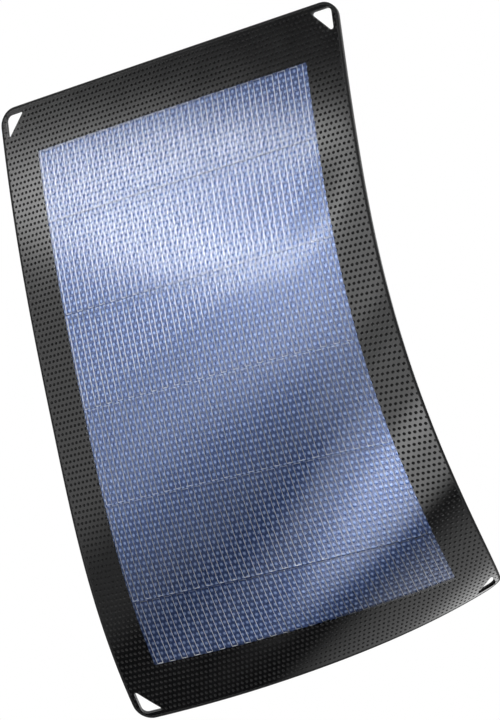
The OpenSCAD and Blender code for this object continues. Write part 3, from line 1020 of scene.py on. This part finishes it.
@dataclass(frozen=True)
class ClearFilm:
    """The clear embossed film: black where it lies on the border, only gloss over the cells."""

    name: str = "clear_embossed_film"
    border: tuple[float, float, float] = (0.004, 0.004, 0.0045)
    index: float = 1.45
    rough: float = 0.14
    dull_rough: float = 0.55
    gain: float = 1.4

    def build(self, effects: Effects) -> bpy.types.Material:
        """Builds the material."""
        shader = Shader(self.name, Follow.SHEET)
        grain = shader.group(effects.grain, Grain_Size=0.002)
        regions = shader.group(effects.window)
        window = regions.outputs["Window"]
        dimple = shader.group(effects.dots).outputs["Dimple"]
        dull = maths(shader.tree, "MAXIMUM", dimple, regions.outputs["Rim"])
        shader.put("Base Color", shader.blend(window, self.border, (1.0, 1.0, 1.0)))
        shader.put("Metallic", window)
        plain = shader.between(grain.outputs["Mottle"], self.rough - 0.04, self.rough + 0.04)
        shader.put("Roughness", maths(shader.tree, "MULTIPLY_ADD", dull, self.dull_rough, plain))
        slant = add(shader.tree, "ShaderNodeFresnel", IOR=self.index).outputs[0]
        behind = add(shader.tree, "ShaderNodeNewGeometry").outputs["Backfacing"]
        shown = maths(shader.tree, "SUBTRACT", 1.0, behind)
        facing = maths(shader.tree, "MULTIPLY", slant, shown)
        gloss = maths(shader.tree, "MULTIPLY", facing, self.gain)
        opaque = maths(shader.tree, "SUBTRACT", 1.0, window)
        shader.put("Alpha", maths(shader.tree, "MAXIMUM", gloss, opaque))
        return shader.material


@dataclass(frozen=True)
class BlackBorder:
    """The black layer that shows round the window, behind the film."""

    name: str = "black_border_layer"
    deep: tuple[float, float, float] = (0.0022, 0.0022, 0.0024)
    light: tuple[float, float, float] = (0.0045, 0.0045, 0.005)

    def build(self, effects: Effects) -> bpy.types.Material:
        """Builds the material."""
        shader = Shader(self.name, Follow.SHEET)
        grain = shader.group(effects.grain, Grain_Size=0.004)
        shader.put("Base Color", shader.blend(grain.outputs["Mottle"], self.deep, self.light))
        shader.put("Roughness", shader.between(grain.outputs["Height"], 0.5, 0.65))
        shader.put("Specular IOR Level", 0.15)
        return shader.material


@dataclass(frozen=True)
class CellFace:
    """The cells' blue face: a metallic sheen, with a painted glint behind each dimple of the film
    and painted shade in the gaps between them.
    """

    name: str = "blue_cell_face"
    deep: tuple[float, float, float] = (0.045, 0.078, 0.21)
    light: tuple[float, float, float] = (0.075, 0.12, 0.29)
    # The glint colour is a painted highlight and the gap shade is painted shade; neither is a
    # colour of the cells.
    painted_glint: tuple[float, float, float] = (0.26, 0.35, 0.56)
    painted_gap_shade: float = 0.3

    def build(self, effects: Effects) -> bpy.types.Material:
        """Builds the material."""
        shader = Shader(self.name, Follow.SHEET)
        grain = shader.group(effects.grain, Grain_Size=0.0025)
        dots = shader.group(effects.dots)
        face = shader.blend(grain.outputs["Mottle"], self.deep, self.light)
        # Painted highlight: a pale blue glint is laid on the face behind each dimple of the film.
        face_with_painted_glint = shader.blend(dots.outputs["Dimple"], face, self.painted_glint)
        # Painted shade: the gaps between the dimples are darkened to a fraction of the deep blue.
        shade = tuple(c * self.painted_gap_shade for c in self.deep)
        shader.put("Base Color", shader.blend(dots.outputs["Gap"], face_with_painted_glint, shade))
        shader.put("Metallic", 0.9)
        shader.put("Roughness", shader.between(grain.outputs["Height"], 0.32, 0.44))
        shader.bump(grain.outputs["Height"], 0.01)
        return shader.material


@dataclass(frozen=True)
class WovenBack:
    """The back sheet's black woven face."""

    name: str = "woven_back_sheet"
    threads: float = 321
    weft: tuple[float, float, float] = (0.022, 0.022, 0.024)
    warp: tuple[float, float, float] = (0.042, 0.042, 0.045)

    def build(self, effects: Effects) -> bpy.types.Material:
        """Builds the material."""
        shader = Shader(self.name, Follow.SHEET)
        weave = shader.group(effects.weave, Threads=self.threads)
        grain = shader.group(effects.grain, Grain_Size=0.001)
        shader.put("Base Color", shader.blend(weave.outputs["Warp"], self.weft, self.warp))
        shader.put("Roughness", shader.between(grain.outputs["Height"], 0.55, 0.75))
        shader.bump(weave.outputs["Height"], 0.12)
        return shader.material


@dataclass(frozen=True)
class ClearPlastic:
    """Clear plastic, for the light pipe."""

    name: str
    rough: float = 0.08

    def build(self, effects: Effects) -> bpy.types.Material:
        """Builds the material."""
        shader = Shader(self.name)
        grain = shader.group(effects.grain, Grain_Size=0.0004)
        shader.put("Base Color", (0.93, 0.96, 0.98, 1.0))
        shader.put("Transmission Weight", 0.85)
        rough = shader.between(grain.outputs["Mottle"], self.rough, self.rough + 0.1)
        shader.put("Roughness", rough)
        return shader.material


class Finishes:
    """Every material of the object, by the record's slot name."""

    kinds = {
        "clear_film": ClearFilm(),
        "black_border": BlackBorder(),
        "cell_blue": CellFace(),
        "back_fabric": WovenBack(),
        "clear_adhesive": Moulded("edge_adhesive", (0.06, 0.06, 0.065), 0.4, dust=0.02),
        "silver_wire": Metal("silver_wire", (0.93, 0.94, 0.96), 0.30),
        "tinned_ribbon": Metal("tinned_ribbon", (0.78, 0.79, 0.80), 0.35),
        "copper_lead": Metal("copper_lead", (0.86, 0.48, 0.30), 0.32),
        "foam_pad": Moulded("foam_pad", (0.020, 0.020, 0.022), 0.9, 0.5, 0.15),
        "box_plastic": Moulded("box_plastic", (0.016, 0.016, 0.018), 0.5, 0.3, 0.03),
        "lid_plastic": Moulded("lid_plastic", (0.020, 0.020, 0.022), 0.46, 0.35, 0.04),
        "seal_rubber": Moulded("seal_rubber", (0.035, 0.035, 0.037), 0.72, 0.2, 0.01),
        "screw_steel": Metal("screw_steel", (0.62, 0.63, 0.65), 0.28),
        "board_laminate": Moulded("board_laminate", (0.015, 0.13, 0.055), 0.42, 0.4, 0.01, 0.02),
        "socket_steel": Metal("socket_steel", (0.72, 0.73, 0.75), 0.22),
        "socket_plastic": Moulded("socket_plastic", (0.80, 0.80, 0.78), 0.45, 0.3, 0.005, 0.02),
        "gold_contact": Metal("gold_contact", (0.90, 0.68, 0.28), 0.22),
        "chip_black": Moulded("chip_black", (0.018, 0.018, 0.019), 0.6, 0.1, 0.008, 0.02),
        "ferrite": Moulded("ferrite", (0.055, 0.055, 0.06), 0.7, 0.15, 0.02, 0.02),
        "capacitor_can": Metal("capacitor_can", (0.66, 0.68, 0.71), 0.25),
        "led_body": Moulded("led_body", (0.75, 0.80, 0.68), 0.3, 0.1, 0.002, 0.0),
        "clear_pipe": ClearPlastic("clear_pipe"),
        "cover_rubber": Moulded("cover_rubber", (0.022, 0.022, 0.024), 0.66, 0.25, 0.02),
        "pin_steel": Metal("pin_steel", (0.68, 0.69, 0.71), 0.24),
    }

    def __init__(self) -> None:
        """Builds every material once."""
        self.effects = Effects()
        self.made = {slot: kind.build(self.effects) for slot, kind in self.kinds.items()}

    def __getitem__(self, slot: str) -> bpy.types.Material:
        """Gives the material for a slot."""
        return self.made[slot]


def declare(piece: bpy.types.Object, body: Body, nodes: list[str]) -> None:
    """Rides a piece on its body, hides the CAD nodes it stands for and logs them.

    Args:
        piece: The finished piece.
        body: The body it moves with.
        nodes: The CAD nodes it stands for.
    """
    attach(piece, body.value)
    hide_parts(*nodes)
    LOG.info("%s stands for %s", piece.name, ", ".join(nodes))


# --- The sheet --------------------------------------------------------------------------


@dataclass
class Laminate:
    """The bent sheet: film, border, cells, wires, ribbons, adhesive and back."""

    finishes: Finishes
    plan: Plan = Plan()
    depths: Depths = Depths()
    pitch: float = 2.47
    row_height: float = 2.85
    dimple_r: float = 0.86
    dimple_depth: float = 0.36
    smooth_rim: float = 1.1
    seam_gap: float = 0.16
    loops: int = 23
    leg_gap: float = 0.43
    wire_r: float = 0.14
    wire_end: float = 0.5

    def __post_init__(self) -> None:
        """Sets up the bent surface."""
        self.surface = BentSurface(self.plan.hang_h, self.depths.sheet)

    def build(self) -> None:
        """Builds every layer, front to back."""
        self.build_film()
        self.build_border()
        self.build_cells()
        self.build_wires()
        self.build_ribbons()
        self.build_rear()

    def _layer(
        self, name: str, loops: list[np.ndarray], front: float, back: float, slot: str, node: str
    ) -> None:
        piece = layer(name, self.surface, self.plan, loops, (front, back), self.finishes[slot])
        declare(piece, Body.PANEL, [node])

    # The film

    def tile_places(self) -> np.ndarray:
        """Gives the middles of the dimples, clear of the edges and eyelets."""
        plan = self.plan
        half_w = plan.width / 2 - self.smooth_rim
        half_h = plan.height / 2 - self.smooth_rim
        rows = int(half_h / self.row_height)
        columns = int(half_w / self.pitch) + 1
        places = []
        for row in range(-rows, rows + 1):
            shift = self.pitch / 2 if row % 2 else 0.0
            for column in range(-columns, columns + 1):
                places.append((column * self.pitch + shift, row * self.row_height))
        places = np.array(places)
        half_tile = np.array([self.pitch, self.row_height]) / 2
        corners = half_tile * [(x, y) for x in (-1, 1) for y in (-1, 1)]
        kept = np.ones(len(places), bool)
        rim = self.shrunk_outline()
        eyelets = [grown(plan.eyelet(s, e), 0.7) for s in (-1, 1) for e in (-1, 1)]
        for corner in corners:
            kept &= inside(places + corner, rim, loop_edges([rim]))
            for eyelet in eyelets:
                kept &= ~inside(places + corner, eyelet, loop_edges([eyelet]))
        for eyelet in eyelets:
            near = np.min(np.linalg.norm(places[:, None] - eyelet[None], axis=2), axis=1)
            kept &= near > self.pitch / 2
        return places[kept]

    def shrunk_outline(self) -> np.ndarray:
        """Gives the outline of the dimpled area, inside the smooth rim."""
        loop = self.plan.outline()
        scale = 1 - 2 * self.smooth_rim / np.array([self.plan.width, self.plan.height])
        return loop * scale

    def unit_tile(self) -> bpy.types.Object:
        """Makes a tile one unit across, high and deep, with a dimple in its middle."""
        ring_x, ring_y = self.dimple_r / self.pitch, self.dimple_r / self.row_height
        angles = np.radians(30 + 60 * np.arange(6))
        ring = np.stack([ring_x * np.cos(angles), ring_y * np.sin(angles), np.zeros(6)], 1)
        edge = np.array([(x, y, 0) for y in (0.5, -0.5) for x in (y, 0, -y)])
        points = np.concatenate([edge, ring, [[0, 0, -1]]])
        faces = []
        for k in range(6):
            following = (k + 1) % 6
            faces += [[k, following, 6 + k], [following, 6 + following, 6 + k]]
            faces.append([6 + k, 6 + following, 12])
        return loose_object("dimple_tile", points, [], faces)

    def build_film(self) -> None:
        """Builds the clear film: dimpled tiles, a smooth rim round them and a flat back."""
        tile = self.unit_tile()
        places = self.tile_places()
        level = np.column_stack([places, np.zeros(len(places))])
        base = loose_object("dimple_places", level, [], [])
        inputs = {
            "Tile": tile,
            "Pitch": self.pitch,
            "Row Height": self.row_height,
            "Dimple Depth": self.dimple_depth,
            "Join Distance": 0.01,
            "Finish": self.finishes["clear_film"],
        }
        tiles, tile_faces = mesh_arrays(run_tree(base, dimple_tree(), inputs))
        bpy.data.objects.remove(tile)
        rim = boundary(tile_faces)
        used, numbers = np.unique(rim, return_inverse=True)
        loops = self.plan.sheet_loops()
        outline = np.concatenate(loops)
        places = np.concatenate([outline, tiles[used][:, :2]])
        edges = np.concatenate([loop_edges(loops), numbers.reshape(-1, 2) + len(outline)])
        rest, rest_faces = fill(places, edges, None)
        points = np.concatenate([tiles * [1, 1, -1], np.column_stack([rest, np.zeros(len(rest))])])
        faces = np.concatenate([tile_faces, rest_faces + len(tiles)])
        _, first, same = np.unique(
            np.round(points[:, :2], 2), axis=0, return_index=True, return_inverse=True
        )
        faces = same.reshape(-1)[faces]
        points = points[first]
        back, back_faces = fill(outline, loop_edges(loops), self.plan.step)
        back = np.column_stack([back, np.full(len(back), self.depths.mask)])
        piece = slab(
            "clear_front_film",
            self.surface,
            self.plan,
            (points, faces),
            (back, back_faces),
            self.finishes["clear_film"],
        )
        smooth(piece, 15)
        declare(piece, Body.PANEL, ["front_film", "front_adhesive"])

    # The layers behind the film

    def build_border(self) -> None:
        """Builds the black border and the carrier behind it."""
        plan, depths = self.plan, self.depths
        x, y = plan.window
        whole = plan.sheet_loops()
        hole = rectangle(-x - plan.return_ribbon, x, -y - plan.ribbon, y + plan.ribbon, plan.step)
        slot = "black_border"
        shown = [*whole, plan.window_loop()]
        self._layer("black_border_mask", shown, depths.mask, depths.cells, slot, "border_mask")
        hidden = [*whole, hole]
        self._layer("border_filler", hidden, depths.cells, depths.rear_glue, slot, "border_carrier")

    def build_cells(self) -> None:
        """Builds the six rows of cells, with a narrow seam between them."""
        x, _ = self.plan.window
        for row in range(self.plan.rows):
            top = self.plan.row_top(row) - (self.seam_gap / 2 if row else 0)
            last = row == self.plan.rows - 1
            bottom = self.plan.row_top(row + 1) + (0 if last else self.seam_gap / 2)
            loop = rectangle(-x, x, bottom, top, self.plan.step)
            name, node = f"cell_row_{row + 1}", f"cell_{row + 1}"
            self._layer(name, [loop], self.depths.cells, self.depths.rear_glue, "cell_blue", node)

    def build_wires(self) -> None:
        """Builds each row's collector wire, one long run of hairpins."""
        tree = wire_tree()
        pitch = 2 * self.plan.window[0] / self.loops
        for row in range(self.plan.rows):
            hairpin = self.hairpin(row, pitch)
            inputs = {
                "Loops": self.loops,
                "Loop Pitch": pitch,
                "Right Edge": self.plan.window[0],
                "Wire Radius": self.wire_r,
                "Wire Sides": 6,
                "Join Distance": 0.01,
                "Finish": self.finishes["silver_wire"],
            }
            points, faces = mesh_arrays(run_tree(hairpin, tree, inputs))
            depth = self.depths.cells - self.wire_r - points[:, 2]
            flat = np.column_stack([points[:, :2], depth])
            name, finish = f"collector_wire_{row + 1}", self.finishes["silver_wire"]
            piece = new_piece(name, self.surface.bend(flat), faces.tolist(), finish)
            add_flat_map(piece, flat[:, :2], self.plan)
            smooth(piece, 60)
            declare(piece, Body.PANEL, [f"wires_{row + 1}"])

    def hairpin(self, row: int, pitch: float) -> bpy.types.Object:
        """Makes one hairpin of a row: down, across, up and on to the next.

        Args:
            row: The row's number, from 0 at the top.
            pitch: Distance from one hairpin to the next.

        Returns:
            A helper object of edges.
        """
        shift = (0.2 if row % 2 == 0 else 0.27) * pitch
        left = -self.plan.window[0] + shift
        right = left + self.leg_gap * pitch
        top = self.plan.row_top(row) - self.wire_end
        bottom = self.plan.row_top(row + 1) + self.wire_end
        count = round((top - bottom) / self.plan.step)
        heights = np.linspace(top, bottom, count + 1)
        down = [(left, h, 0) for h in heights]
        up = [(right, h, 0) for h in heights[::-1]]
        points = np.array([*down, *up, (left + pitch, top, 0)])
        edges = [(k, k + 1) for k in range(len(points) - 1)]
        return loose_object("hairpin", points, edges, [])

    def build_ribbons(self) -> None:
        """Builds the tinned ribbons hidden in the border."""
        plan, depths = self.plan, self.depths
        x, y = plan.window
        strips = {
            "top_bus_ribbon": (-x, x, y, y + plan.ribbon),
            "bottom_bus_ribbon": (-x, x, -y - plan.ribbon, -y),
            "return_ribbon": (-x - plan.return_ribbon, -x, -y - plan.ribbon, y + plan.ribbon),
        }
        slot = "tinned_ribbon"
        for node, sides in strips.items():
            loop = rectangle(*sides, plan.step)
            self._layer(f"{node}_strip", [loop], depths.cells, depths.rear_glue, slot, node)

    def build_rear(self) -> None:
        """Builds the rear adhesive and the woven back sheet."""
        glue, back, rear = self.depths.rear_glue, self.depths.back, self.depths.sheet
        loops = [*self.plan.sheet_loops(), *self.plan.lead_loops()]
        self._layer("rear_adhesive_film", loops, glue, back, "clear_adhesive", "rear_adhesive")
        self._layer("woven_back", loops, back, rear, "back_fabric", "back_sheet")


def grown(loop: np.ndarray, margin: float) -> np.ndarray:
    """Moves an outline's points away from its middle by a margin."""
    away = loop - loop.mean(0)
    return loop + away / np.linalg.norm(away, axis=1, keepdims=True) * margin


# --- The junction box ---------------------------------------------------------------------


@dataclass
class JunctionBox:
    """The box behind the top border, with its socket, circuit and dust cover."""

    finishes: Finishes

    def build(self) -> None:
        """Rounds the box's shells and dresses what is inside it."""
        shells = (
            ("box_base", 0.35, Body.PANEL, "box_plastic"),
            ("box_lid", 0.3, Body.PANEL, "lid_plastic"),
            ("port_cover", 0.25, Body.COVER, "cover_rubber"),
            ("usb_shell", 0.08, Body.PANEL, "socket_steel"),
            ("usb_tongue", 0.1, Body.PANEL, "socket_plastic"),
            ("inductor", 0.4, Body.PANEL, "ferrite"),
            ("regulator_chip", 0.15, Body.PANEL, "chip_black"),
            ("blocking_diode", 0.15, Body.PANEL, "chip_black"),
            ("capacitors", 0.3, Body.PANEL, "capacitor_can"),
        )
        for node, width, body, slot in shells:
            piece = rounded_copy(node, width, self.finishes[slot])
            declare(piece, body, [node])
        pad = rounded_copy("box_pad", 0.2, self.finishes["foam_pad"])
        declare(pad, Body.PANEL, ["box_pad"])
        self.dress_nodes()

    def dress_nodes(self) -> None:
        """Gives each CAD node that stays its finish."""
        nodes = {
            "left_lead": "copper_lead",
            "right_lead": "copper_lead",
            "lid_seal": "seal_rubber",
            "lid_screws": "screw_steel",
            "circuit_board": "board_laminate",
            "usb_contacts": "gold_contact",
            "status_led": "led_body",
            "light_pipe": "clear_pipe",
            "cover_pin": "pin_steel",
        }
        for node, slot in nodes.items():
            mesh = bpy.data.objects[node].data
            mesh.materials.clear()
            mesh.materials.append(self.finishes[slot])
            LOG.info("%s keeps its CAD shape", node)


# --- Studio ---------------------------------------------------------------------------


@dataclass(frozen=True)
class Glow:
    """A soft patch of light in the studio's surroundings, by the direction it comes from."""

    azimuth: float
    elevation: float
    full: float
    edge: float
    strength: float

    def direction(self) -> tuple[float, float, float]:
        """Gives the direction towards the patch."""
        a, e = math.radians(self.azimuth), math.radians(self.elevation)
        return (math.sin(a) * math.cos(e), -math.cos(a) * math.cos(e), math.sin(e))


@dataclass
class Studio:
    """The camera, the soft surroundings and a plain pale floor."""

    effects: Effects
    glows: tuple[Glow, ...] = (
        Glow(-37, 3, 4, 20, 1.35),
        Glow(-31, -22, 4, 20, 0.4),
        Glow(-14, -4, 6, 16, 2.8),
        Glow(-3, -27, 5, 12, 1.6),
        Glow(15, -52, 6, 18, 2.3),
        Glow(50, -68, 5, 18, 3.8),
        Glow(170, -42, 8, 30, 0.8),
        Glow(180, 35, 25, 50, 2.2),
        Glow(-28, 10, 6, 3, 9.0),
        Glow(-26, 10, 3, 3, -8.4),
    )
    ambient: float = 0.02
    clearance: float = 0.32

    def build(self) -> None:
        """Sets the studio up."""
        self.add_camera()
        self.add_surroundings()
        self.add_floor()
        bpy.context.scene.view_settings.view_transform = "Standard"

    def add_camera(self) -> None:
        """Places the camera, low and to the right of the sheet."""
        forward = Vector((-0.4578, 0.8516, 0.2555)).normalized()
        right = forward.cross(Vector((0.2247, -0.1672, 0.960))).normalized()
        up = right.cross(forward)
        data = bpy.data.cameras.new("camera")
        data.sensor_width = 36
        data.lens = 112
        data.clip_start = 0.05
        data.clip_end = 50
        camera = bpy.data.objects.new("camera", data)
        turn = Matrix((right, up, -forward)).transposed().to_4x4()
        camera.matrix_world = Matrix.Translation((0.5131, -0.9012, -0.4243)) @ turn
        bpy.context.scene.collection.objects.link(camera)
        bpy.context.scene.camera = camera

    def add_surroundings(self) -> None:
        """Builds the world: white to the eye, with soft patches of light for the gloss."""
        world = bpy.data.worlds.new("studio")
        world.use_nodes = True
        tree = world.node_tree
        tree.nodes.clear()
        where = add(tree, "ShaderNodeTexCoord").outputs["Generated"]
        total = self.ambient
        for glow in self.glows:
            near = add(tree, "ShaderNodeVectorMath", {"operation": "DOT_PRODUCT"})
            tree.links.new(where, near.inputs[0])
            near.inputs[1].default_value = glow.direction()
            low, high = (math.cos(math.radians(a)) for a in (glow.full + glow.edge, glow.full))
            soft = fade(tree, near.outputs["Value"], low, high)
            total = maths(tree, "MULTIPLY_ADD", soft, glow.strength, total)
        seen = add(tree, "ShaderNodeLightPath").outputs["Is Camera Ray"]
        light = add(tree, "ShaderNodeBackground", Strength=total)
        white = add(tree, "ShaderNodeBackground", Strength=1.0)
        for lamp in (light, white):
            lamp.inputs["Color"].default_value = (1, 1, 1, 1)
        chosen = add(tree, "ShaderNodeMixShader", Fac=seen)
        tree.links.new(light.outputs[0], chosen.inputs[1])
        tree.links.new(white.outputs[0], chosen.inputs[2])
        out = tree.nodes.new("ShaderNodeOutputWorld")
        tree.links.new(chosen.outputs[0], out.inputs["Surface"])
        bpy.context.scene.world = world

    def add_floor(self) -> None:
        """Lays a pale floor well under the hanging sheet."""
        half = 4.0
        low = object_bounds()[0].z - self.clearance
        sides = ((-half, -half), (half, -half), (half, half), (-half, half))
        corners = np.array([(x, y, low) for x, y in sides])
        finish = Moulded("pale_floor", (0.80, 0.80, 0.80), 0.85, 3.0, 0.01, 0.0)
        finish = finish.build(self.effects)
        floor = new_piece("pale_floor", corners, [[0, 1, 2, 3]], finish)
        floor.visible_glossy = False
        floor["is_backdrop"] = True


def main() -> None:
    """Builds the sheet, the junction box and the studio around the frame."""
    logging.basicConfig(level=logging.INFO, format="%(name)s: %(message)s")
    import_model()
    finishes = Finishes()
    Laminate(finishes).build()
    JunctionBox(finishes).build()
    Studio(finishes.effects).build()


if __name__ == "__main__":
    main()
